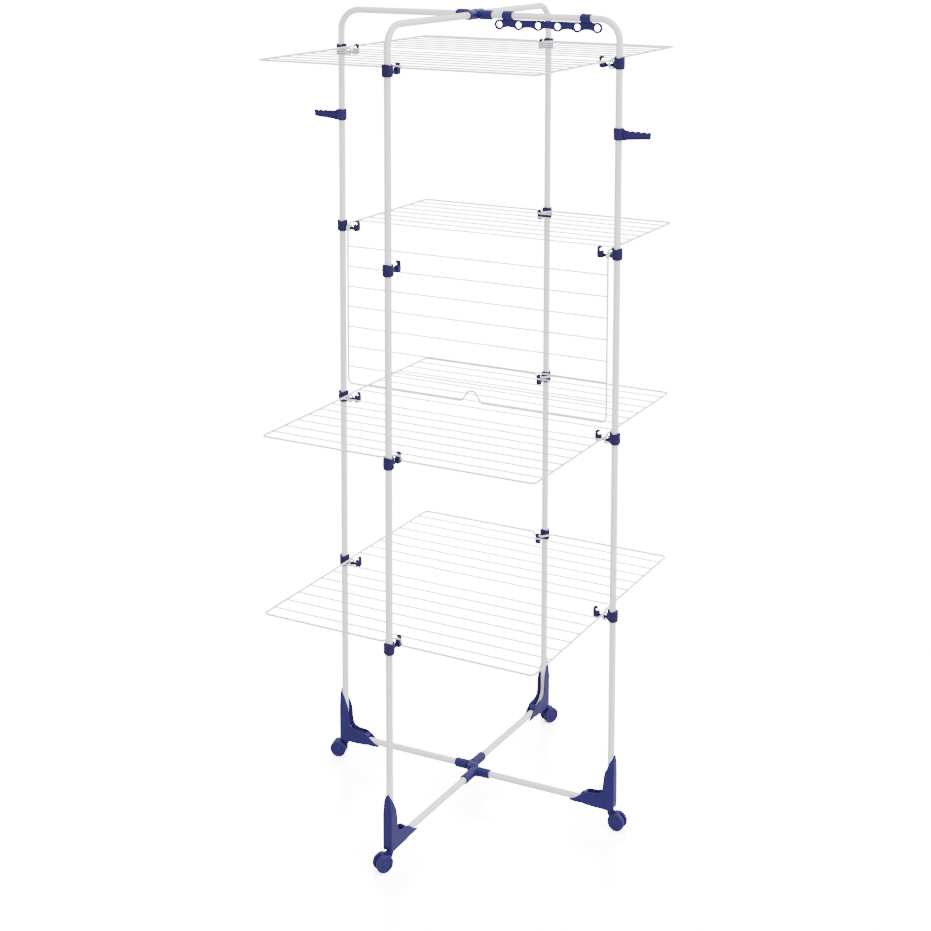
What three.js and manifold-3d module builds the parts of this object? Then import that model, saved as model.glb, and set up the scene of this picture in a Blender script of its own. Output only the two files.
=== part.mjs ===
// Upright clothes drying rack. Two steel-tube portal frames cross at a vertical
// centre pivot; eight wire shelves hang on hook clips; four twin-wheel casters.
// Millimetres, +Z up, origin on the floor under the centre pivot.
// Frame A lies along X, frame B along Y.
import * as THREE from 'three';
import { mergeVertices } from 'three/addons/utils/BufferGeometryUtils.js';
import Module from 'manifold-3d';

// ---- driving dimensions ----
const A_HALF = 370;            // frame A post axis from the centre
const B_HALF = 404;            // frame B post axis from the centre
const TUBE_R = 8;              // tube outer radius
const TUBE_WALL = 1;
const TUBE_SIDES = 10;
const FIT_R = 8.6;             // bore that goes round a tube
const TOP_Z = 1925;            // axis of the top tubes
const BASE_Z = 57;             // axis of the base tubes
const TOP_BEND = 50;           // bend radii on the tube axis
const BASE_BEND = 45;
const LEVELS = [1833, 1394, 959, 531];  // height of each shelf's wires, top to bottom
// centre pivot: each tube passes the pivot axis to one side, so that the frames fold side by side
const HUB_OFFSET = 9.5;
const HUB_IN = 21;             // sleeves start this far from the pivot axis
const TUBE_IN = 24;            // tubes end this far from the pivot axis
const HUB_OUT_A = 52;          // sleeve ends
const HUB_OUT_B = 66;
const HUB_R = 10.5;
const HUB_DISC_R = 15;
const PIN_R = 3.7;
const PIN_HOLE_R = 4.2;
const PIN_HEAD_R = 7.5;
// hook clips, measured from the post axis and from the wire plane
const CLIP_R = 13;
const CLIP_TOP = 8;
const CLIP_BOTTOM = -23;
const CLIP_THICK = 6;
const PIVOT_DROP = 12;         // shelf pivot below the wire plane
const NECK = 3;                // half height of the clip's neck
const HOOK_R = 7.45;           // centreline radius of a shelf's hook round the neck
// wire shelves
const BAR_LEFT = -347.5;       // side bars of a front shelf
const BAR_RIGHT = 352.5;
const BAR_R = 2.3;
const WIRE_R = 1.6;
const WIRE_FIRST = 43;         // innermost wire from the pivot
const WIRE_PITCH = 50.7;
const OUTER_WIRE = 391;        // outermost wire from the pivot
const CORNER = 12;
const JOG_BASE = 27, JOG_TOP = 8, JOG_IN = 365;
// feet
const FOOT_HALF = 11.5;
const STEM_R = 4, SOCKET_R = 4.5, STEM_TOP = 68, SOCKET_TOP = 71, FOOT_UNDER = 45;
// casters
const WHEEL_R = 21, WHEEL_W = 11, WHEEL_Y = 9.7, TRAIL = 18, AXLE_R = 2.4, WHEEL_BORE = 2.9, HOUSING_BORE = 3;
const CASTER_TURN = { a_left: -165, a_right: -2, b_front: -121, b_back: 59 };  // trail direction, degrees from +X
// hanger arms and hanger strip
const HANGER_Z = 1665, HANGER_LEN = 79, HANGER_THICK = 7;
const RING_X = [69.5, 118.7, 167.9, 217.1, 266.3, 315.5], RING_DROP = 21, RING_R = 12.3, RING_HOLE = 8.8;
const STRIP_CLIP_X = [92.2, 288.6], STRIP_CLIP_W = 25, STRIP_HALF = 2;

const wasm = await Module();
wasm.setup();

// ---- helpers ----
const bare = (g) => {
  const c = g.clone();
  c.deleteAttribute('normal');
  c.deleteAttribute('uv');
  return mergeVertices(c, 1e-4);
};
const solid = (g) => {
  const m = bare(g);
  return new wasm.Manifold(new wasm.Mesh({
    numProp: 3,
    vertProperties: Float32Array.from(m.attributes.position.array),
    triVerts: Uint32Array.from(m.index.array),
  }));
};
const shapeOf = (s) => {
  const m = s.getMesh();
  const g = new THREE.BufferGeometry();
  g.setAttribute('position', new THREE.BufferAttribute(Float32Array.from(m.vertProperties), 3));
  g.setIndex(new THREE.BufferAttribute(Uint32Array.from(m.triVerts), 1));
  return g;
};
const join = (...list) => list.reduce((a, b) => a.add(b));
const ngon = (r, n, turn = 0) => {
  const p = [];
  for (let i = 0; i < n; i++) {
    const t = turn + (2 * Math.PI * i) / n;
    p.push(new THREE.Vector2(r * Math.cos(t), r * Math.sin(t)));
  }
  return p;
};
const v3 = (x, y, z) => new THREE.Vector3(x, y, z);

// A path through given points, with frames that don't twist
class Route extends THREE.Curve {
  constructor(points) { super(); this.points = points; }
  getPoint(t, target = new THREE.Vector3()) {
    const n = this.points.length - 1;
    const i = Math.min(Math.floor(t * n), n - 1);
    return target.lerpVectors(this.points[i], this.points[i + 1], t * n - i);
  }
  getSpacedPoints() { return this.points.map((p) => p.clone()); }
  computeFrenetFrames() {
    const p = this.points, n = p.length, dir = [], tangents = [], normals = [], binormals = [];
    for (let i = 0; i < n - 1; i++) dir.push(p[i + 1].clone().sub(p[i]).normalize());
    for (let i = 0; i < n; i++) {
      const a = dir[Math.max(i - 1, 0)], b = dir[Math.min(i, n - 2)];
      tangents.push(a.clone().add(b).normalize());
    }
    const start = Math.abs(tangents[0].y) < 0.9 ? v3(0, 1, 0) : v3(1, 0, 0);
    let normal = start.sub(tangents[0].clone().multiplyScalar(start.dot(tangents[0]))).normalize();
    for (let i = 0; i < n; i++) {
      normal = normal.clone().sub(tangents[i].clone().multiplyScalar(normal.dot(tangents[i]))).normalize();
      normals.push(normal);
      binormals.push(tangents[i].clone().cross(normal));
    }
    return { tangents, normals, binormals };
  }
}
const sweep = (points, r, sides, inner = 0, turn = 0) => {
  const shape = new THREE.Shape(ngon(r, sides, turn));
  if (inner) shape.holes.push(new THREE.Path(ngon(inner, sides, turn)));
  return new THREE.ExtrudeGeometry(shape, { steps: points.length - 1, extrudePath: new Route(points), curveSegments: 1 });
};
// arc points in the plane of two unit vectors
const arc = (centre, r, ex, ey, from, to, n) => {
  const out = [];
  for (let i = 0; i <= n; i++) {
    const t = from + ((to - from) * i) / n;
    out.push(centre.clone().addScaledVector(ex, r * Math.cos(t)).addScaledVector(ey, r * Math.sin(t)));
  }
  return out;
};
// a flat outline in x and z, given its thickness along y about y = 0
const plate = (outline, half) => {
  const g = new THREE.ExtrudeGeometry(new THREE.Shape(outline.map(([x, z]) => new THREE.Vector2(x, z))), { depth: 2 * half, bevelEnabled: false, steps: 1 });
  g.rotateX(Math.PI / 2);
  g.translate(0, half, 0);
  return g;
};
const drum = (r, z0, z1, sides, turn = 0) => {
  const g = new THREE.ExtrudeGeometry(new THREE.Shape(ngon(r, sides, turn)), { depth: z1 - z0, bevelEnabled: false, steps: 1 });
  g.translate(0, 0, z0);
  return g;
};
const block = (x0, x1, y0, y1, z0, z1) => {
  const g = new THREE.BoxGeometry(x1 - x0, y1 - y0, z1 - z0);
  g.translate((x0 + x1) / 2, (y0 + y1) / 2, (z0 + z1) / 2);
  return g;
};

const blue = [0.045, 0.04, 0.21];
const root = new THREE.Group();
const put = (parent, name, geometry, colour, roughness, metalness) => {
  const m = new THREE.Mesh(geometry, new THREE.MeshStandardMaterial({ color: new THREE.Color(...colour), roughness, metalness }));
  m.name = name;
  parent.add(m);
  return m;
};
const plastic = (parent, name, g) => put(parent, name, g, blue, 0.42, 0);
const painted = (parent, name, g) => put(parent, name, g, [0.82, 0.82, 0.82], 0.35, 0.1);

// A post place: local +X points from the post to the centre
const POSTS = {
  a_left: { half: A_HALF, turn: 0, side: 1 },
  a_right: { half: A_HALF, turn: 180, side: 1 },
  b_front: { half: B_HALF, turn: 90, side: -1 },
  b_back: { half: B_HALF, turn: -90, side: -1 },
};
const postGroup = (key) => {
  const g = new THREE.Group(), p = POSTS[key], t = (p.turn * Math.PI) / 180;
  g.rotation.z = t;
  g.position.set(-p.half * Math.cos(t), -p.half * Math.sin(t), 0);
  root.add(g);
  return g;
};
const skewOf = (p) => Math.atan2(p.side * HUB_OFFSET, p.half - TUBE_IN);

// ---- tubes: top arm, post and base arm in one bent piece ----
const tubeGeometry = (p) => {
  const skew = skewOf(p), u = v3(Math.cos(skew), Math.sin(skew), 0), up = v3(0, 0, 1);
  const reach = Math.hypot(p.half - TUBE_IN, HUB_OFFSET);
  const out = u.clone().negate(), down = up.clone().negate();
  const topC = u.clone().multiplyScalar(TOP_BEND).setZ(TOP_Z - TOP_BEND);
  const baseC = u.clone().multiplyScalar(BASE_BEND).setZ(BASE_Z + BASE_BEND);
  const pts = [
    u.clone().multiplyScalar(reach).setZ(TOP_Z),
    ...arc(topC, TOP_BEND, up, out, 0, Math.PI / 2, 5),
    ...arc(baseC, BASE_BEND, out, down, 0, Math.PI / 2, 5),
    u.clone().multiplyScalar(reach).setZ(BASE_Z),
  ];
  return sweep(pts, TUBE_R, TUBE_SIDES, TUBE_R - TUBE_WALL);
};

// ---- hook clip ----
const clipOutline = [
  [11.5, -PIVOT_DROP - 6], [14.4, -PIVOT_DROP - NECK], [30, -PIVOT_DROP - NECK], [32, -17.6], [44, -18], [48, -14],
  [49.2, 2], [48, 8.6], [44.6, 11], [40.4, 10.4], [37.6, 7.2], [39.2, 5.6], [42, 6.4], [44, 4.6],
  [44.2, -1], [42.6, -3], [32.4, -3.4], [30, -PIVOT_DROP + NECK], [14.4, -PIVOT_DROP + NECK], [11.5, -3],
];
const clip = join(
  solid(drum(CLIP_R, CLIP_BOTTOM, CLIP_TOP, 12)),
  solid(plate(clipOutline, CLIP_THICK / 2)),
).subtract(solid(drum(FIT_R, CLIP_BOTTOM - 5, CLIP_TOP + 5, TUBE_SIDES)));
const clipGeometry = shapeOf(clip);

// ---- feet: U channels round the bent corner of the tube, open on the inside ----
const footOutline = [
  [-9.6, 183], [-11.5, 164], [-11.5, 62], [-9.5, 50], [-6.5, FOOT_UNDER], [13, FOOT_UNDER], [58, 46.2], [70, 48.2], [84, 47.6], [98, 48.4], [105, 51.5],
  [96, 54.8], [86, 60], [74, 70], [62, 77.6], [48, 80], [35, 81.2], [26.5, 87], [22, 98.5], [18.8, 112.5], [14.4, 127.5], [7.5, 144.5], [-1, 163.5],
];
const innerSlot = [[0, 260], [0, BASE_Z + BASE_BEND]];
for (let i = 1; i < 5; i++) {
  const t = (i * Math.PI) / 10;
  innerSlot.push([BASE_BEND - BASE_BEND * Math.cos(t), BASE_Z + BASE_BEND - BASE_BEND * Math.sin(t)]);
}
innerSlot.push([BASE_BEND, BASE_Z], [260, BASE_Z], [260, 260]);
const footPath = [
  v3(0, 0, 260),
  ...arc(v3(BASE_BEND, 0, BASE_Z + BASE_BEND), BASE_BEND, v3(-1, 0, 0), v3(0, 0, -1), 0, Math.PI / 2, 5),
  v3(260, 0, BASE_Z),
];
const foot = solid(plate(footOutline, FOOT_HALF))
  .subtract(solid(sweep(footPath, FIT_R, TUBE_SIDES)))
  .subtract(solid(plate(innerSlot, FIT_R)))
  .subtract(solid(drum(SOCKET_R, FOOT_UNDER - 5, SOCKET_TOP, 8)));
const footGeometry = shapeOf(foot);

// ---- hub halves: two tube sleeves joined by a half-height disc ----
const hubHalf = (half, side, outR, z0, z1, turn) => {
  const arms = [], bores = [];
  for (const k of [0, 1]) {
    const far = v3(-half, 0, 0), near = v3(-TUBE_IN, side * HUB_OFFSET, 0);
    const d = near.clone().sub(far).normalize();
    const at = (x) => near.clone().addScaledVector(d, (x + TUBE_IN) / d.x);
    const spin = (g) => g.rotateZ(k * Math.PI);
    arms.push(solid(spin(sweep([at(-outR), at(-HUB_IN)], HUB_R, 12))));
    arms.push(solid(spin(block(-HUB_IN - 2, 0, ...(side > 0 ? [2, 17] : [-17, -2]), z0, z1))));
    bores.push(solid(spin(sweep([at(-outR - 10), at(-TUBE_IN + 0.6)], FIT_R, TUBE_SIDES))));
  }
  const body = join(solid(drum(HUB_DISC_R, z0, z1, 16)), ...arms);
  const done = bores.reduce((a, b) => a.subtract(b), body).subtract(solid(drum(PIN_HOLE_R, -30, 30, 12)));
  return shapeOf(done).rotateZ((turn * Math.PI) / 180);
};
const hubA = hubHalf(A_HALF, 1, HUB_OUT_A, -HUB_R, -0.3, 0);
const hubB = hubHalf(B_HALF, -1, HUB_OUT_B, 0.3, HUB_R, 90);
const pinGeometry = new THREE.LatheGeometry(
  [[0, -14], [5.5, -14], [PIN_HEAD_R, -12.6], [PIN_HEAD_R, -HUB_R - 0.4], [PIN_R, -HUB_R - 0.4], [PIN_R, HUB_R + 0.4], [PIN_HEAD_R, HUB_R + 0.4], [PIN_HEAD_R, 12.6], [5.5, 14], [0, 14]]
    .map(([r, z]) => new THREE.Vector2(r, z)), 12).rotateX(Math.PI / 2);

// ---- wire shelf, front hand: local origin on its pivot, wires at y < 0 ----
const ey = v3(0, 1, 0), ez = v3(0, 0, 1), ex = v3(1, 0, 0);
const hookPoints = (x) => [
  ...arc(v3(x, 0, 0), HOOK_R, ez, ey, (200 * Math.PI) / 180, (40 * Math.PI) / 180, 4),
  v3(x, -3, PIVOT_DROP - 1.6), v3(x, -15, PIVOT_DROP),
];
const shelfFrame = (() => {
  const h = PIVOT_DROP, y = -OUTER_WIRE, pts = [];
  pts.push(...hookPoints(BAR_LEFT));
  pts.push(...arc(v3(BAR_LEFT + CORNER, y + CORNER, h), CORNER, ex.clone().negate(), ey.clone().negate(), 0, Math.PI / 2, 3));
  pts.push(v3(-JOG_BASE - 2, y, h), v3(-JOG_BASE + 2, y + 2.5, h), v3(-JOG_TOP - 2, -JOG_IN - 2.5, h), v3(-JOG_TOP + 2, -JOG_IN, h));
  pts.push(v3(JOG_TOP - 2, -JOG_IN, h), v3(JOG_TOP + 2, -JOG_IN - 2.5, h), v3(JOG_BASE - 2, y + 2.5, h), v3(JOG_BASE + 2, y, h));
  pts.push(...arc(v3(BAR_RIGHT - CORNER, y + CORNER, h), CORNER, ey.clone().negate(), ex, 0, Math.PI / 2, 3));
  pts.push(...hookPoints(BAR_RIGHT).reverse());
  return solid(sweep(pts, BAR_R, 6));
})();
const wires = [];
for (let i = 0; i < 7; i++) {
  const y = -(WIRE_FIRST + i * WIRE_PITCH);
  wires.push(solid(sweep([v3(BAR_LEFT, y, PIVOT_DROP), v3(BAR_RIGHT, y, PIVOT_DROP)], WIRE_R, 5)));
}
const shelfGeometry = shapeOf(join(shelfFrame, ...wires));

// ---- casters: local origin on the swivel axis at floor level, trail along +X ----
const housing = join(
  solid(plate(ngon(17, 12).map((p) => [p.x + TRAIL, p.y + WHEEL_R]), 3.5)),
  solid(plate([[-5.5, 43], [-5.5, 33], [2, 20], [20, 30], [17, 37], [6, 43]], 3.5)),
  solid(drum(6.5, 39.8, FOOT_UNDER - 0.4, 10)),
  solid(drum(STEM_R, 43, STEM_TOP, 8)),
).subtract(solid(plate(ngon(HOUSING_BORE, 8).map((p) => [p.x + TRAIL, p.y + WHEEL_R]), 20)));
const housingGeometry = shapeOf(housing);
const WHEEL_SIDES = 16, TREAD_R = WHEEL_R / Math.cos(Math.PI / WHEEL_SIDES);
const wheelGeometry = new THREE.LatheGeometry(
  [[WHEEL_BORE, -WHEEL_W / 2], [TREAD_R, -WHEEL_W / 2], [TREAD_R, WHEEL_W / 2 - 3], [16, WHEEL_W / 2], [WHEEL_BORE, WHEEL_W / 2], [WHEEL_BORE, -WHEEL_W / 2]]
    .map(([r, z]) => new THREE.Vector2(r, z)), WHEEL_SIDES).rotateY(Math.PI / WHEEL_SIDES);  // a flat of the tread is down
const axleGeometry = new THREE.CylinderGeometry(AXLE_R, AXLE_R, 2 * (WHEEL_Y + WHEEL_W / 2) - 1, 10);

// ---- hanger arm: clips on a post and points outward along -X ----
const hangerOutline = [
  [-11, 12], [-18, 8.5], [-24, 7], [-27, 3], [-30, 7.5], [-38, 7], [-41, 3], [-44, 7], [-52, 6.5], [-55, 2.5], [-58, 6.5], [-66, 6], [-70, 3], [-74, 8.5],
  [-78, 9], [-HANGER_LEN, 5], [-77, -4], [-70, -6], [-40, -9.5], [-11, -13.5],
];
const hangerGeometry = shapeOf(join(
  solid(drum(12.4, -14, 14, 12)),
  solid(plate(hangerOutline, HANGER_THICK / 2)),
).subtract(solid(drum(FIT_R, -20, 20, TUBE_SIDES))));

// ---- hanger strip: local origin on the right post axis at tube height, +X points away from the centre ----
const stripGeometry = (() => {
  const far = A_HALF / Math.cos(skewOf(POSTS.a_right));
  const X = RING_X.map((x) => x - far);
  const rings = X.map((x) => solid(plate(ngon(RING_R, 12).map((p) => [p.x + x, p.y - RING_DROP]), STRIP_HALF)));
  const bar = [[X[0], -RING_DROP - 4], [X[5], -RING_DROP - 4], [X[5], -TUBE_R - 0.7], [X[0], -TUBE_R - 0.7]];
  const clips = STRIP_CLIP_X.map((c) => {
    const x = c - far;
    return solid(sweep([v3(x - STRIP_CLIP_W / 2, 0, 0), v3(x + STRIP_CLIP_W / 2, 0, 0)], 11, 12));
  });
  let s = join(...rings, solid(plate(bar, STRIP_HALF)), ...clips);
  for (const x of X) s = s.subtract(solid(plate(ngon(RING_HOLE, 10).map((p) => [p.x + x, p.y - RING_DROP]), 20)));
  return shapeOf(s.subtract(solid(sweep([v3(-far, 0, 0), v3(20, 0, 0)], FIT_R, TUBE_SIDES))));
})();

// ---- assembly ----
for (const [key, p] of Object.entries(POSTS)) {
  const g = postGroup(key);
  painted(g, `tube_${key}`, tubeGeometry(p));
  LEVELS.forEach((z, i) => { plastic(g, `clip_${key}_${i + 1}`, clipGeometry).position.z = z; });
  plastic(g, `foot_${key}`, footGeometry).rotation.z = skewOf(p);
  const c = new THREE.Group();
  c.rotation.z = ((CASTER_TURN[key] - p.turn) * Math.PI) / 180;
  g.add(c);
  plastic(c, `caster_housing_${key}`, housingGeometry);
  const w1 = plastic(c, `wheel_${key}_1`, wheelGeometry), w2 = plastic(c, `wheel_${key}_2`, wheelGeometry);
  w1.position.set(TRAIL, WHEEL_Y, WHEEL_R);
  w2.position.set(TRAIL, -WHEEL_Y, WHEEL_R);
  w2.rotation.z = Math.PI;
  put(c, `axle_${key}`, axleGeometry, [0.5, 0.5, 0.5], 0.3, 0.9).position.set(TRAIL, 0, WHEEL_R);
  if (key[0] === 'a') plastic(g, `hanger_arm_${key.slice(2)}`, hangerGeometry).position.z = HANGER_Z;
  if (key === 'a_right') {
    const s = new THREE.Group();
    s.rotation.z = Math.PI + skewOf(p);
    s.position.z = TOP_Z;
    g.add(s);
    plastic(s, 'hanger_strip', stripGeometry);
  }
}
for (const [where, z] of [['top', TOP_Z], ['base', BASE_Z]]) {
  plastic(root, `hub_${where}_a`, hubA).position.z = z;
  plastic(root, `hub_${where}_b`, hubB).position.z = z;
  plastic(root, `hub_pin_${where}`, pinGeometry).position.z = z;
}
LEVELS.forEach((z, i) => {
  const front = painted(root, `shelf_front_${i + 1}`, shelfGeometry);
  front.position.z = z - PIVOT_DROP;
  if (i === 1) front.rotation.x = Math.PI / 2;  // this shelf is folded down
  const rear = painted(root, `shelf_rear_${i + 1}`, shelfGeometry);
  rear.position.z = z - PIVOT_DROP;
  rear.rotation.z = Math.PI;
});

export default root;
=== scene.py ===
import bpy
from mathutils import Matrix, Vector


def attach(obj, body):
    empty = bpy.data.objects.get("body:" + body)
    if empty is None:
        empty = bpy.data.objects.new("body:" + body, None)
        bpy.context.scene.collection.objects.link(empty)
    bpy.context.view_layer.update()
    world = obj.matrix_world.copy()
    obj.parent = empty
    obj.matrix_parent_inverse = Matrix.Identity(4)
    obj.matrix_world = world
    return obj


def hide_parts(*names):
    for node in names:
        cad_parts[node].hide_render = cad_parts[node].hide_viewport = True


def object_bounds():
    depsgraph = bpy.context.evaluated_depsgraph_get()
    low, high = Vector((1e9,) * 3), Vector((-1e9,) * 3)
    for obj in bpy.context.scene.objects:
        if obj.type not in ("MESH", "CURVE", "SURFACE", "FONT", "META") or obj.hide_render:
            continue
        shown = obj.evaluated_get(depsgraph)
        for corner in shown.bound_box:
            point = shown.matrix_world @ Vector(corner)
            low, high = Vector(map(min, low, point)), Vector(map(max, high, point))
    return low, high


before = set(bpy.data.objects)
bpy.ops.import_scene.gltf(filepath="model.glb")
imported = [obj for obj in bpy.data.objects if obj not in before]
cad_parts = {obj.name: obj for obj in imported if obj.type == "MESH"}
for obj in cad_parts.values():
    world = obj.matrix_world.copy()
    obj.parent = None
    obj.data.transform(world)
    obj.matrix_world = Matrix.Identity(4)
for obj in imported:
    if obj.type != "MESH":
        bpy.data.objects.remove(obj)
cad_lo, cad_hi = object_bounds()
cad_lo, cad_hi = list(cad_lo), list(cad_hi)

import bpy, bmesh, math
from mathutils import Vector, Matrix

# ---- sizes in millimetres, as in the CAD ----
A_HALF, B_HALF = 370.0, 404.0
TUBE_R, TOP_Z, BASE_Z = 8.0, 1925.0, 57.0
TOP_BEND, BASE_BEND = 50.0, 45.0
LEVELS = (1833.0, 1394.0, 959.0, 531.0)
HUB_OFFSET, TUBE_IN = 9.5, 24.0
PIVOT_DROP, HOOK_R = 12.0, 7.45
BAR_LEFT, BAR_RIGHT, BAR_R, WIRE_R = -347.5, 352.5, 2.3, 1.65
WIRE_FIRST, WIRE_PITCH, OUTER_WIRE, CORNER = 43.0, 50.7, 391.0, 12.0
JOG_BASE, JOG_TOP, JOG_IN = 27.0, 8.0, 365.0
HANGER_Z = 1665.0
TRAIL, WHEEL_R, WHEEL_W, WHEEL_Y = 18.0, 21.0, 11.0, 9.7
POSTS = {
    "a_left": (A_HALF, 0, 1, -165),
    "a_right": (A_HALF, 180, 1, -2),
    "b_front": (B_HALF, 90, -1, -121),
    "b_back": (B_HALF, -90, -1, 59),
}
MM = Matrix.Scale(0.001, 4)


def post_matrix(key):
    half, turn, side, cast = POSTS[key]
    t = math.radians(turn)
    return Matrix.Translation((-half * math.cos(t), -half * math.sin(t), 0)) @ Matrix.Rotation(t, 4, "Z")


def skew(key):
    half, turn, side, cast = POSTS[key]
    return math.atan2(side * HUB_OFFSET, half - TUBE_IN)


# ---- mesh building ----
class Shape:
    """Vertices and faces in millimetres, joined piece by piece."""

    def __init__(self):
        self.v, self.f, self.s = [], [], []

    def add(self, v, f, smooth=True, m=None):
        n = len(self.v)
        self.v += [tuple(m @ Vector(p)) if m else tuple(p) for p in v]
        self.f += [tuple(i + n for i in q) for q in f]
        self.s += [smooth] * len(f)
        return self

    def merge(self, other, m=None):
        return self.add(other.v, other.f, True, m)

    def mesh(self, name, m=None):
        me = bpy.data.meshes.new(name)
        k = MM @ m if m else MM
        me.from_pydata([tuple(k @ Vector(p)) for p in self.v], [], self.f)
        if k.determinant() < 0:
            me.flip_normals()
        me.polygons.foreach_set("use_smooth", [True] * len(me.polygons))
        me.update()
        return me


def ring(c, x, y, r, n):
    return [c + x * (r * math.cos(2 * math.pi * i / n)) + y * (r * math.sin(2 * math.pi * i / n)) for i in range(n)]


def sweep(points, r, n, radii=None):
    """A round rod through points, with flat end caps."""
    P = [Vector(p) for p in points]
    T = []
    for i in range(len(P)):
        a = (P[i] - P[i - 1]).normalized() if i else (P[1] - P[0]).normalized()
        b = (P[i + 1] - P[i]).normalized() if i < len(P) - 1 else a
        T.append((a + b).normalized())
    ref = Vector((0, 0, 1)) if abs(T[0].z) < 0.9 else Vector((1, 0, 0))
    nrm = (ref - T[0] * ref.dot(T[0])).normalized()
    v, f = [], []
    for i, p in enumerate(P):
        nrm = (nrm - T[i] * nrm.dot(T[i])).normalized()
        v += ring(p, nrm, T[i].cross(nrm), radii[i] if radii else r, n)
        if i:
            o = (i - 1) * n
            for k in range(n):
                j = (k + 1) % n
                f.append((o + k, o + j, o + n + j, o + n + k))
    f.append(tuple(reversed(range(n))))
    o = (len(P) - 1) * n
    f.append(tuple(range(o, o + n)))
    s = Shape()
    s.add(v, f)
    return s


def lathe(profile, n, wrap=False):
    """A profile of (r, z) turned about Z. wrap joins its last point to its first."""
    v, f, rows = [], [], []
    for r, z in profile:
        if r < 1e-6:
            rows.append([len(v)])
            v.append((0, 0, z))
        else:
            rows.append(list(range(len(v), len(v) + n)))
            v += [(r * math.cos(2 * math.pi * i / n), r * math.sin(2 * math.pi * i / n), z) for i in range(n)]
    pairs = list(zip(rows, rows[1:])) + ([(rows[-1], rows[0])] if wrap else [])
    for a, b in pairs:
        for k in range(n):
            j = (k + 1) % n
            if len(a) == 1 and len(b) > 1:
                f.append((a[0], b[j], b[k]))
            elif len(b) == 1 and len(a) > 1:
                f.append((a[k], a[j], b[0]))
            elif len(a) > 1:
                f.append((a[k], a[j], b[j], b[k]))
    s = Shape()
    s.add(v, f)
    return s


def plate(outlines, half, bevel=0.6, res=2):
    """Closed outlines in x and z (the first is the border, the rest are holes), half the thickness each side of y = 0, with rounded rims."""
    cu = bpy.data.curves.new("plate", "CURVE")
    cu.dimensions, cu.fill_mode = "2D", "BOTH"
    cu.extrude, cu.bevel_depth, cu.bevel_resolution, cu.offset = half - bevel, bevel, res, -bevel
    for o in outlines:
        sp = cu.splines.new("POLY")
        sp.points.add(len(o) - 1)
        for p, (x, z) in zip(sp.points, o):
            p.co = (x, z, 0, 1)
        sp.use_cyclic_u = True
    ob = bpy.data.objects.new("plate", cu)
    me = bpy.data.meshes.new_from_object(ob)
    s = Shape()
    s.add([(p.co.x, -p.co.z, p.co.y) for p in me.vertices], [tuple(q.vertices) for q in me.polygons])
    bpy.data.objects.remove(ob)
    bpy.data.curves.remove(cu)
    bpy.data.meshes.remove(me)
    return s


def rounded(points, n=3, amount=1.0):
    """Catmull-Rom through a closed outline."""
    out, m = [], len(points)
    for i in range(m):
        p0, p1, p2, p3 = (Vector(points[(i + k - 1) % m]) for k in range(4))
        for k in range(n):
            t = k / n
            out.append(tuple(0.5 * ((2 * p1) + (p2 - p0) * t + (2 * p0 - 5 * p1 + 4 * p2 - p3) * t * t + (3 * p1 - p0 - 3 * p2 + p3) * t * t * t)))
    return out


def circle(x, z, r, n=32):
    return [(x + r * math.cos(2 * math.pi * i / n), z + r * math.sin(2 * math.pi * i / n)) for i in range(n)]


def arc(c, r, ex, ey, a, b, n):
    c, ex, ey = Vector(c), Vector(ex), Vector(ey)
    return [c + ex * (r * math.cos(a + (b - a) * i / n)) + ey * (r * math.sin(a + (b - a) * i / n)) for i in range(n + 1)]


def rot(deg, axis):
    return Matrix.Rotation(math.radians(deg), 4, axis)


# ---- materials ----
def material(name, colour, spread, rough, rough_spread, scale, bump, bump_scale, metallic=0.0, coat=0.0, coat_rough=0.1, specular=0.5):
    m = bpy.data.materials.new(name)
    m.use_nodes = True
    nt = m.node_tree
    b = next(x for x in nt.nodes if x.type == "BSDF_PRINCIPLED")
    tc = nt.nodes.new("ShaderNodeTexCoord")
    no = nt.nodes.new("ShaderNodeTexNoise")
    no.inputs["Scale"].default_value = scale
    no.inputs["Detail"].default_value = 5
    nt.links.new(tc.outputs["Object"], no.inputs["Vector"])
    cr = nt.nodes.new("ShaderNodeValToRGB")
    cr.color_ramp.elements[0].position, cr.color_ramp.elements[1].position = 0.3, 0.7
    cr.color_ramp.elements[0].color = (*[max(0, c * (1 - spread)) for c in colour], 1)
    cr.color_ramp.elements[1].color = (*[min(1, c * (1 + spread)) for c in colour], 1)
    nt.links.new(no.outputs["Fac"], cr.inputs["Fac"])
    nt.links.new(cr.outputs["Color"], b.inputs["Base Color"])
    mr = nt.nodes.new("ShaderNodeMapRange")
    mr.inputs["To Min"].default_value, mr.inputs["To Max"].default_value = rough - rough_spread, rough + rough_spread
    nt.links.new(no.outputs["Fac"], mr.inputs["Value"])
    nt.links.new(mr.outputs["Result"], b.inputs["Roughness"])
    n2 = nt.nodes.new("ShaderNodeTexNoise")
    n2.inputs["Scale"].default_value = bump_scale
    n2.inputs["Detail"].default_value = 3
    nt.links.new(tc.outputs["Object"], n2.inputs["Vector"])
    bp = nt.nodes.new("ShaderNodeBump")
    bp.inputs["Strength"].default_value = bump
    bp.inputs["Distance"].default_value = 0.0002
    nt.links.new(n2.outputs["Fac"], bp.inputs["Height"])
    nt.links.new(bp.outputs["Normal"], b.inputs["Normal"])
    b.inputs["Metallic"].default_value = metallic
    b.inputs["Specular IOR Level"].default_value = specular
    b.inputs["Coat Weight"].default_value = coat
    b.inputs["Coat Roughness"].default_value = coat_rough
    return m


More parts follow.
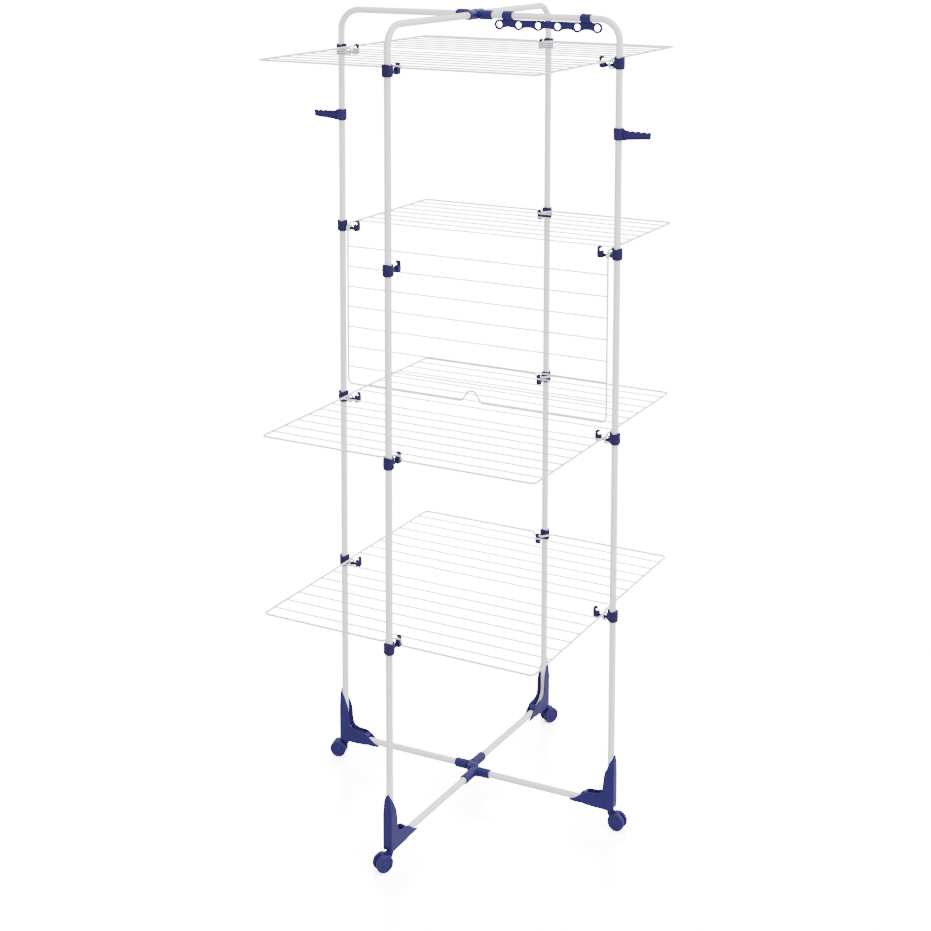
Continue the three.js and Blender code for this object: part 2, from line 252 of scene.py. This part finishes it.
WHITE = material("white_coating", (0.90, 0.90, 0.90), 0.02, 0.3, 0.05, 30, 0.15, 900)
WIRE = material("white_wire", (0.80, 0.80, 0.81), 0.03, 0.38, 0.05, 40, 0.15, 900)
BLUE = material("blue_plastic", (0.0142, 0.0088, 0.096), 0.12, 0.42, 0.06, 60, 0.25, 1400, specular=0.2)
CLIPBLUE = material("clip_blue_plastic", (0.0100, 0.0066, 0.055), 0.12, 0.42, 0.06, 60, 0.25, 1400, specular=0.2)
ARMBLUE = material("arm_blue_plastic", (0.0150, 0.0092, 0.082), 0.12, 0.42, 0.06, 60, 0.25, 1400, specular=0.2)
TOPBLUE = material("hub_blue_plastic", (0.0105, 0.0080, 0.092), 0.12, 0.36, 0.06, 60, 0.25, 1400, specular=0.22)
WHEEL = material("wheel_plastic", (0.0165, 0.0104, 0.096), 0.12, 0.42, 0.08, 70, 0.3, 1200, specular=0.22)
STEEL = material("steel", (0.5, 0.5, 0.52), 0.05, 0.3, 0.05, 80, 0.1, 900, metallic=1.0)


def floor_material():
    """A bright seamless studio floor: it looks white, and lights the object only as a pale floor does."""
    m = bpy.data.materials.new("floor")
    m.use_nodes = True
    nt = m.node_tree
    nt.nodes.clear()
    out = nt.nodes.new("ShaderNodeOutputMaterial")
    mix, add = nt.nodes.new("ShaderNodeMixShader"), nt.nodes.new("ShaderNodeAddShader")
    pale, bright, gloss = nt.nodes.new("ShaderNodeBsdfDiffuse"), nt.nodes.new("ShaderNodeBsdfDiffuse"), nt.nodes.new("ShaderNodeBsdfGlossy")
    lp, tc, no = nt.nodes.new("ShaderNodeLightPath"), nt.nodes.new("ShaderNodeTexCoord"), nt.nodes.new("ShaderNodeTexNoise")
    cr = nt.nodes.new("ShaderNodeMix")
    cr.data_type = "RGBA"
    no.inputs["Scale"].default_value = 0.8
    nt.links.new(tc.outputs["Object"], no.inputs["Vector"])
    nt.links.new(no.outputs["Fac"], cr.inputs["Factor"])
    cr.inputs["A"].default_value = (FLOOR_BRIGHT, FLOOR_BRIGHT, FLOOR_BRIGHT, 1)
    cr.inputs["B"].default_value = (FLOOR_BRIGHT * 1.02, FLOOR_BRIGHT * 1.02, FLOOR_BRIGHT * 1.02, 1)
    nt.links.new(cr.outputs["Result"], bright.inputs["Color"])
    pale.inputs["Color"].default_value = (0.6, 0.6, 0.6, 1)
    gloss.inputs["Color"].default_value = (FLOOR_GLOSS, FLOOR_GLOSS, FLOOR_GLOSS, 1)
    gloss.inputs["Roughness"].default_value = 0.2
    nt.links.new(bright.outputs[0], add.inputs[0])
    nt.links.new(gloss.outputs[0], add.inputs[1])
    nt.links.new(lp.outputs["Is Camera Ray"], mix.inputs[0])
    nt.links.new(pale.outputs[0], mix.inputs[1])
    nt.links.new(add.outputs[0], mix.inputs[2])
    nt.links.new(mix.outputs[0], out.inputs["Surface"])
    return m


FLOOR_BRIGHT, FLOOR_GLOSS = 6.0, 2.4
FLOOR = floor_material()


def piece(name, shape, m, mat, body, slot, *nodes, bevel=0.0, angle=38):
    o = bpy.data.objects.new(name, shape.mesh(name, m))
    bpy.context.scene.collection.objects.link(o)
    o.data.materials.append(mat)
    if bevel:
        b = o.modifiers.new("bevel", "BEVEL")
        b.width, b.segments, b.limit_method, b.angle_limit = bevel * 0.001, 2, "ANGLE", math.radians(angle)
        b.use_clamp_overlap = True
    w = o.modifiers.new("normals", "WEIGHTED_NORMAL")
    w.keep_sharp = True
    w.weight = 60
    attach(o, body)
    if nodes:
        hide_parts(*nodes)
    return o


# ---- tubes ----
def tube_shape(key):
    half, turn, side, cast = POSTS[key]
    s = skew(key)
    u = Vector((math.cos(s), math.sin(s), 0))
    up, out, down = Vector((0, 0, 1)), -u, Vector((0, 0, -1))
    reach = math.hypot(half - TUBE_IN, HUB_OFFSET)
    tc = u * TOP_BEND + up * (TOP_Z - TOP_BEND)
    bc = u * BASE_BEND + up * (BASE_Z + BASE_BEND)
    pts = [u * reach + up * TOP_Z]
    pts += arc(tc, TOP_BEND, up, out, 0, math.pi / 2, 14)
    pts += arc(bc, BASE_BEND, out, down, 0, math.pi / 2, 14)
    pts += [u * reach + up * BASE_Z]
    return sweep(pts, TUBE_R, 28)


# ---- wire shelf, wires at y < 0, origin on its pivot ----
def shelf_shape():
    s, h, y = Shape(), PIVOT_DROP, -OUTER_WIRE
    X, Y, Z = Vector((1, 0, 0)), Vector((0, 1, 0)), Vector((0, 0, 1))

    def hook(x):
        p = arc((x, 0, 0), HOOK_R, Z, Y, math.radians(205), math.radians(38), 14)
        return p + [Vector((x, 1.4, PIVOT_DROP - 3.6)), Vector((x, -3.5, PIVOT_DROP - 1.2)), Vector((x, -9, PIVOT_DROP - 0.2)), Vector((x, -15, PIVOT_DROP))]

    pts = hook(BAR_LEFT)
    pts += arc((BAR_LEFT + CORNER, y + CORNER, h), CORNER, -X, -Y, 0, math.pi / 2, 8)
    jog = [(-JOG_BASE - 5, 0), (-JOG_BASE - 1.5, 0.3), (-JOG_BASE + 1.5, 2.2), (-JOG_TOP - 3.2, 21.6), (-JOG_TOP - 0.8, 24.6), (-JOG_TOP + 2.5, 26)]
    pts += [Vector((a, y + b, h)) for a, b in jog] + [Vector((-a, y + b, h)) for a, b in reversed(jog)]
    pts += arc((BAR_RIGHT - CORNER, y + CORNER, h), CORNER, -Y, X, 0, math.pi / 2, 8)
    pts += list(reversed(hook(BAR_RIGHT)))
    s.merge(sweep(pts, BAR_R, 14))
    for i in range(7):
        w = -(WIRE_FIRST + i * WIRE_PITCH)
        s.merge(sweep([(BAR_LEFT - 0.4, w, h), (BAR_LEFT + 2.5, w, h), (BAR_RIGHT - 2.5, w, h), (BAR_RIGHT + 0.4, w, h)], WIRE_R, 10))
        for x in (BAR_LEFT, BAR_RIGHT):  # weld beads
            k = 1 if x < 0 else -1
            bead = lathe([(0, -2.4), (1.5, -2.0), (2.3, -0.9), (2.55, 0), (2.3, 0.9), (1.5, 2.0), (0, 2.4)], 10)
            s.merge(bead, Matrix.Translation((x + k * 1.3, w, h)) @ rot(90, "Y"))
    return s


# ---- hook clip, u along +X from the post axis, z from the wire plane ----
def clip_shape():
    s = Shape()
    n, rows = 40, []
    prof = [(8.45, -19.4, 0), (9.4, -20.6, 0), (11.2, -20.1, 0), (12.4, -18.3, 0), (13.0, -15.2, 0), (13.0, 6.0, 1), (12.3, 7.6, 1), (11.0, 8.2, 1), (9.2, 8.0, 1), (8.45, 7.0, 1)]
    v, f = [], []
    for r, z, top in prof:
        for i in range(n):
            t = 2 * math.pi * i / n
            dip = -3.0 * (math.sin(t) ** 4) * top  # the top edge dips on both sides
            v.append((r * math.cos(t), r * math.sin(t), z + dip))
    m = len(prof)
    for a in range(m):
        b = (a + 1) % m
        for k in range(n):
            j = (k + 1) % n
            f.append((a * n + k, a * n + j, b * n + j, b * n + k))
    s.add(v, f)
    # neck, with a collar on the sleeve
    s.merge(sweep([(11, 0, -12), (14.6, 0, -12), (35.5, 0, -12)], 4, 20, [6.0, 4.0, 4.0]))
    # claw block
    block = [(34.0, -17), (35.6, -18.2), (45, -18.4), (48.4, -15.6), (49, -9), (48.9, -2), (44.5, -2.9), (36.8, -2.9), (34.2, -4.4)]
    s.merge(plate([block], 5.4, 1.0))
    # upright finger that curls back over the wire
    finger = rounded([(43.9, -6), (44.1, -0.5), (43.8, 2.6), (42.4, 4.3), (40.4, 4.0), (38.9, 3.6), (38.1, 4.9), (39.2, 7.0), (41.8, 8.6), (45.2, 8.7), (47.7, 7.0), (49.0, 3.6), (49.1, -1.5), (48.8, -8)], 4)
    s.merge(plate([finger], 4.2, 0.8))
    # low lip on the post side of the slot
    s.merge(plate([rounded([(34.2, -5), (34.6, -1.2), (36.2, -0.6), (37.6, -2.4), (38.2, -5)], 3)], 4.2, 0.5))
    # web under the neck
    s.merge(plate([[(11.5, -17.5), (14.3, -15.2), (34.8, -15.2), (34.8, -9.4), (14.4, -9.4), (11.5, -4.5)]], 1.2, 0.3))
    return s


# ---- foot, u along +X, z from the floor ----
FOOT = [(-9.6, 183), (-11.4, 164), (-11.4, 62), (-9.5, 50.5), (-4.5, 45.4), (13, 45.1), (58, 46.3), (70, 48.4), (84, 47.8), (98, 48.6), (105, 51.5), (96, 54.5), (86, 59.5), (74, 69.5), (62, 77.2), (50, 79.6), (39, 80.2), (28, 82.8), (20.5, 89), (17, 101), (15.6, 118), (12.4, 137), (6, 152), (-2, 169)]


def foot_shape():
    s = Shape()
    cheek = rounded(FOOT, 3)
    for y in (-10.25, 10.25):
        s.merge(plate([cheek], 1.55, 1.2, 3), Matrix.Translation((0, y, 0)))
    # outer shell, round the outside of the bend
    r0 = BASE_BEND + TUBE_R + 0.35
    path = [(-TUBE_R - 0.35, 178)]
    path += [(BASE_BEND - r0 * math.cos(t), BASE_Z + BASE_BEND - r0 * math.sin(t)) for t in [math.pi / 2 * i / 12 for i in range(13)]]
    path += [(101, BASE_Z - TUBE_R - 0.35)]
    outer = [(99, 51.8), (90, 49.2), (84, 47.8), (70, 48.4), (58, 46.3), (13, 45.1), (-4.5, 45.4), (-9.5, 50.5), (-11.4, 62), (-11.4, 164), (-10.2, 177)]
    outer[0:1] = [(98, BASE_Z - TUBE_R - 1.2)]
    shell = [(-10.2, 177)] + path[0:-1] + [(58, BASE_Z - TUBE_R - 0.35), (58, 46.3), (13, 45.1), (-4.5, 45.4), (-9.5, 50.5), (-11.4, 62), (-11.4, 164)]
    s.merge(plate([shell], 11.0, 2.2, 3))
    # collar under the foot for the caster's stem
    s.merge(lathe([(4.6, 45.1), (6.2, 45.05), (8.6, 45.1), (8.9, 47.5), (4.6, 47.5)], 28, True))
    # the top of the spike narrows and rounds off on the tube's outer side
    s.v = [(x, y * (1 - 0.82 * max(0.0, min(1.0, (z - 146) / 37.0)) ** 1.7), z) for x, y, z in s.v]
    # rib across the inner hump
    s.merge(plate([[(58, 66.2), (72.5, 66.2), (68.5, 71.5), (59.5, 75.5)]], 9.2, 0.8))
    return s


# ---- hubs ----
def hub_shape(half_length, side, out_r, upper):
    s = Shape()
    k = 1 if upper else -1
    if upper:
        prof = [(0, 0.35), (14.6, 0.35), (15.0, 0.9), (15.0, 8.6), (14.0, 10.2), (12.0, 10.9), (8.2, 11.0), (0, 10.7)]
    else:
        prof = [(0, -10.7), (8.2, -11.0), (12.0, -10.9), (14.0, -10.2), (15.0, -8.6), (15.0, -0.9), (14.6, -0.35), (0, -0.35)]
    s.merge(lathe(prof, 48))
    far, near = Vector((-half_length, 0, 0)), Vector((-TUBE_IN, side * HUB_OFFSET, 0))
    d = (near - far).normalized()
    for turn in (0, 180):
        m = rot(turn, "Z")

        def at(x):
            return near + d * ((x + TUBE_IN) / d.x)

        # sleeve: a thick-walled tube, with a rounded mouth
        prof2 = [(8.5, 0), (9.2, 0.2), (10.9, 1.0), (11.6, 2.6), (11.6, out_r - 20.2), (10.6, out_r - 18.6), (0, out_r - 18.2)]
        slv = lathe(list(prof2) + [], 30)
        axis = Matrix.Translation(at(-out_r)) @ d.to_track_quat("Z", "Y").to_matrix().to_4x4()
        s.merge(slv, m @ axis)
        # bridge from the disc to the sleeve, half height
        y0, y1 = (3, 19.5) if side > 0 else (-19.5, -3)
        z0, z1 = (0.4, 9.6) if upper else (-9.6, -0.4)
        v = [(x, y, z) for x in (-24, -6) for y in (y0, y1) for z in (z0, z1)]
        f = [(0, 1, 3, 2), (4, 6, 7, 5), (0, 4, 5, 1), (2, 3, 7, 6), (0, 2, 6, 4), (1, 5, 7, 3)]
        s.add(v, f, True, m)
    return s


def pin_shape():
    return lathe([(0, -12.6), (4.2, -12.5), (6.2, -12.1), (6.9, -11.5), (6.9, -11.15), (3.7, -10.9), (3.7, 10.9), (6.9, 11.15), (6.9, 11.5), (6.2, 12.1), (4.2, 12.5), (0, 12.6)], 32)


# ---- casters, origin on the swivel axis at floor level, trail along +X ----
def housing_shape():
    s = Shape()
    s.merge(plate([circle(TRAIL, WHEEL_R, 17.4, 40), circle(TRAIL, WHEEL_R, 3.0, 20)], 3.7, 0.6))
    # hood over the wheels' inner edges
    hood = rounded([(-7, 44), (-7.4, 36), (-3.5, 27), (2, 20), (8, 24), (14, 33), (22, 37), (24, 40.2), (16, 43), (6, 44.4)], 3)
    s.merge(plate([hood], 4.0, 0.9))
    s.merge(lathe([(0, 39), (6.6, 39), (7.6, 40.2), (7.6, 43.4), (6.4, 44.6), (4, 44.6), (4, 66.5), (3.2, 67.8), (0, 68)], 28))
    return s


def wheel_shape():
    w = WHEEL_W / 2
    prof = [(0, w - 1.4), (2.5, w - 1.4), (2.9, w - 1.8), (2.9, -w), (19.2, -w), (20.4, -w + 0.5), (21.0, -w + 1.4), (21.0, w - 4.0), (20.5, w - 2.6), (18.8, w - 1.0), (16.6, w - 0.3), (15.6, w - 0.5), (15.0, w - 1.5), (8.0, w - 1.9), (7.2, w - 0.9), (6.4, w - 0.2), (5.2, w), (0, w)]
    return lathe(prof, 44)


# ---- hanger arm ----
def hanger_shape():
    s = Shape()
    s.merge(lathe([(8.45, -13.6), (9.2, -14), (11.4, -14), (12.4, -13), (12.4, 13), (11.4, 14), (9.2, 14), (8.45, 13.6)], 40, True))
    out = rounded([(-10, 12.6), (-14, 11.6), (-19, 9.6), (-24, 8.9), (-27.5, 6.4), (-31, 8.9), (-37.5, 8.6), (-41, 6.0), (-44.5, 8.6), (-51.5, 8.3), (-55, 5.6), (-58.5, 8.2), (-65.5, 8.0), (-69, 5.6), (-72.5, 8.0), (-77.6, 8.4), (-78.8, 5), (-78.2, -4), (-76.4, -7.6), (-70, -8.4), (-55, -9.6), (-40, -10.8), (-24, -12.2), (-10, -13.4)], 3)
    s.merge(plate([out], 3.4, 0.9))
    # flanges along the lower edge and a middle web line
    s.merge(plate([[(-10, -13.4), (-10, -10.4), (-40, -7.8), (-76, -4.8), (-78, -7.4), (-70, -8.4), (-40, -10.8)]], 5.4, 0.9))
    return s


# ---- hanger strip, origin on the right post axis at tube height, +X away from the centre ----
RING_X = (69.5, 118.7, 167.9, 217.1, 266.3, 315.5)


def strip_shape():
    s = Shape()
    far = A_HALF / math.cos(skew("a_right"))
    X = [x - far for x in RING_X]
    drop = 21.0
    for x in X:
        s.merge(plate([circle(x, -drop, 12.6, 40), circle(x, -drop, 7.4, 32)], 2.5, 0.7))
    top = -TUBE_R - 0.8
    bar = [(X[0] + 1, top), (X[5] - 1, top), (X[5] - 8, -drop + 9), (X[5] - 10.5, -drop + 1), (X[5] - 9.6, -drop - 5.4)]
    for i in range(5, 0, -1):
        w = X[i] - X[i - 1]
        bar += [(X[i] - 9.6 - (w - 19.2) * k / 8, -drop - 5.6 - 2.6 * (2 * k / 8 - 1) ** 2) for k in range(9)]
        if i > 1:
            bar += [(X[i - 1] + 6.5, -drop - 9.6), (X[i - 1], -drop - 11.5), (X[i - 1] - 6.5, -drop - 9.6)]
    bar += [(X[0] + 9.6, -drop - 5.4), (X[0] + 10.5, -drop + 1), (X[0] + 8, -drop + 9)]
    holes = [circle(x, -drop, 7.6, 32) for x in X[1:5]]
    s.merge(plate([bar] + holes, 2.05, 0.6))
    for c in (92.2, 288.6):
        x = c - far
        prof = [(8.45, -12.1), (9.2, -12.5), (10.4, -12.5), (11.2, -11.7), (11.2, 11.7), (10.4, 12.5), (9.2, 12.5), (8.45, 12.1)]
        s.merge(lathe(prof, 32, True), Matrix.Translation((x, 0, 0)) @ rot(90, "Y"))
    return s


# ---- assembly ----
clip_s, foot_s, shelf_s = clip_shape(), foot_shape(), shelf_shape()
house_s, wheel_s, hanger_s, strip_s, pin_s = housing_shape(), wheel_shape(), hanger_shape(), strip_shape(), pin_shape()
axle_s = lathe([(0, -13.6), (2.0, -13.6), (2.4, -13.2), (2.4, 13.2), (2.0, 13.6), (0, 13.6)], 20)

for key, (half, turn, side, cast) in POSTS.items():
    P = post_matrix(key)
    body = "frame_" + key[0]
    piece(f"v_tube_{key}", tube_shape(key), P, WHITE, body, "tube", f"tube_{key}")
    for i, z in enumerate(LEVELS, 1):
        piece(f"v_clip_{key}_{i}", clip_s, P @ Matrix.Translation((0, 0, z)), CLIPBLUE, body, "plastic", f"clip_{key}_{i}", bevel=0.0)
    piece(f"v_foot_{key}", foot_s, P @ Matrix.Rotation(skew(key), 4, "Z"), BLUE, body, "plastic", f"foot_{key}")
    C = P @ rot(cast - turn, "Z")
    piece(f"v_housing_{key}", house_s, C, WHEEL, f"caster_{key}", "plastic", f"caster_housing_{key}")
    W = C @ Matrix.Translation((TRAIL, 0, WHEEL_R))
    piece(f"v_wheel_{key}_1", wheel_s, W @ Matrix.Translation((0, WHEEL_Y, 0)) @ rot(-90, "X"), WHEEL, f"wheels_{key}", "wheel", f"wheel_{key}_1")
    piece(f"v_wheel_{key}_2", wheel_s, W @ Matrix.Translation((0, -WHEEL_Y, 0)) @ rot(90, "X"), WHEEL, f"wheels_{key}", "wheel", f"wheel_{key}_2")
    piece(f"v_axle_{key}", axle_s, W @ rot(90, "X"), STEEL, f"wheels_{key}", "axle", f"axle_{key}")

piece("v_hanger_arm_left", hanger_s, post_matrix("a_left") @ Matrix.Translation((0, 0, HANGER_Z)), ARMBLUE, "frame_a", "plastic", "hanger_arm_left")
piece("v_hanger_arm_right", hanger_s, post_matrix("a_right") @ Matrix.Translation((0, 0, HANGER_Z)), ARMBLUE, "frame_a", "plastic", "hanger_arm_right")
piece("v_hanger_strip", strip_s, post_matrix("a_right") @ Matrix.Translation((0, 0, TOP_Z)) @ Matrix.Rotation(math.pi + skew("a_right"), 4, "Z"), ARMBLUE, "frame_a", "plastic", "hanger_strip")

for where, z in (("top", TOP_Z), ("base", BASE_Z)):
    mat = TOPBLUE if where == "top" else BLUE
    m = Matrix.Translation((0, 0, z))
    piece(f"v_hub_{where}_a", hub_shape(A_HALF, 1, 52, False), m, mat, "frame_a", "plastic", f"hub_{where}_a", bevel=0.8)
    piece(f"v_hub_{where}_b", hub_shape(B_HALF, -1, 66 if where == "base" else 54, True), m @ rot(90, "Z"), mat, "frame_b", "plastic", f"hub_{where}_b", bevel=0.8)
    piece(f"v_hub_pin_{where}", pin_s, m, mat, "frame_a", "plastic", f"hub_pin_{where}")

for i, z in enumerate(LEVELS, 1):
    m = Matrix.Translation((0, 0, z - PIVOT_DROP))
    front = m @ rot(90, "X") if i == 2 else m
    piece(f"v_shelf_front_{i}", shelf_s, front, WIRE, f"shelf_front_{i}_body", "wire", f"shelf_front_{i}")
    piece(f"v_shelf_rear_{i}", shelf_s, m @ rot(180, "Z"), WIRE, f"shelf_rear_{i}_body", "wire", f"shelf_rear_{i}")

# ---- floor, light, camera ----
me = bpy.data.meshes.new("floor")
S = 90.0
me.from_pydata([(-S, -S, 0), (S, -S, 0), (S, S, 0), (-S, S, 0)], [], [(0, 1, 2, 3)])
floor = bpy.data.objects.new("floor", me)
bpy.context.scene.collection.objects.link(floor)
me.materials.append(FLOOR)

WORLD_LOW, WORLD_HIGH = 0.8, 3.6
world = bpy.context.scene.world or bpy.data.worlds.new("studio")
bpy.context.scene.world = world
world.use_nodes = True
wn = world.node_tree
wn.nodes.clear()
wout, wmix = wn.nodes.new("ShaderNodeOutputWorld"), wn.nodes.new("ShaderNodeMixShader")
bg, seen = wn.nodes.new("ShaderNodeBackground"), wn.nodes.new("ShaderNodeBackground")
seen.inputs["Color"].default_value, seen.inputs["Strength"].default_value = (1, 1, 1, 1), 12.0
wlp = wn.nodes.new("ShaderNodeLightPath")
tc = wn.nodes.new("ShaderNodeTexCoord")
dot = wn.nodes.new("ShaderNodeVectorMath")
dot.operation = "DOT_PRODUCT"
dot.inputs[1].default_value = (0.62, 0.18, 0.60)  # the studio is brighter above and to the right
wn.links.new(tc.outputs["Generated"], dot.inputs[0])
ramp = wn.nodes.new("ShaderNodeMapRange")
ramp.inputs["From Min"].default_value, ramp.inputs["From Max"].default_value = -0.6, 0.88
ramp.inputs["To Min"].default_value, ramp.inputs["To Max"].default_value = WORLD_LOW, WORLD_HIGH
wn.links.new(dot.outputs["Value"], ramp.inputs["Value"])
wn.links.new(ramp.outputs["Result"], bg.inputs["Strength"])
wn.links.new(wlp.outputs["Is Camera Ray"], wmix.inputs[0])
wn.links.new(bg.outputs[0], wmix.inputs[1])
wn.links.new(seen.outputs[0], wmix.inputs[2])
wn.links.new(wmix.outputs[0], wout.inputs["Surface"])


def area(name, loc, target, size, power):
    d = bpy.data.lights.new(name, "AREA")
    d.shape, d.size, d.energy = "SQUARE", size, power
    o = bpy.data.objects.new(name, d)
    o.location = loc
    o.rotation_euler = (Vector(target) - Vector(loc)).to_track_quat("-Z", "Y").to_euler()
    bpy.context.scene.collection.objects.link(o)


area("key", (3.4, -1.6, 3.4), (0, 0, 0.9), 1.6, 60)

CY, F = 100.0, 1761.2416
yaw, pitch, roll = (math.radians(v) for v in (28.1111, 6.6816, 0.1103))
T = Vector((0.02, -0.816, 4.262))
Zv = Vector((0, 0, 1))
r0 = Vector((math.cos(yaw), math.sin(yaw), 0))
fw = Vector((-math.sin(yaw), math.cos(yaw), 0))
f2 = math.cos(pitch) * fw - math.sin(pitch) * Zv
u2 = math.cos(pitch) * Zv + math.sin(pitch) * fw
r3 = math.cos(roll) * r0 + math.sin(roll) * u2
u3 = -math.sin(roll) * r0 + math.cos(roll) * u2
cd = bpy.data.cameras.new("camera")
cam = bpy.data.objects.new("camera", cd)
bpy.context.scene.collection.objects.link(cam)
R = Matrix((r3, u3, -f2)).transposed().to_4x4()
cam.matrix_world = Matrix.Translation(Vector((0, 0, 0.9)) - T.x * r3 - T.y * u3 - T.z * f2) @ R
cd.sensor_width = 36.0
cd.lens = F / 931 * 36.0
cd.shift_y = (CY - 465.5) / 931
cd.dof.use_dof = False
cd.clip_end = 500
bpy.context.scene.camera = cam

bpy.context.view_layer.update()
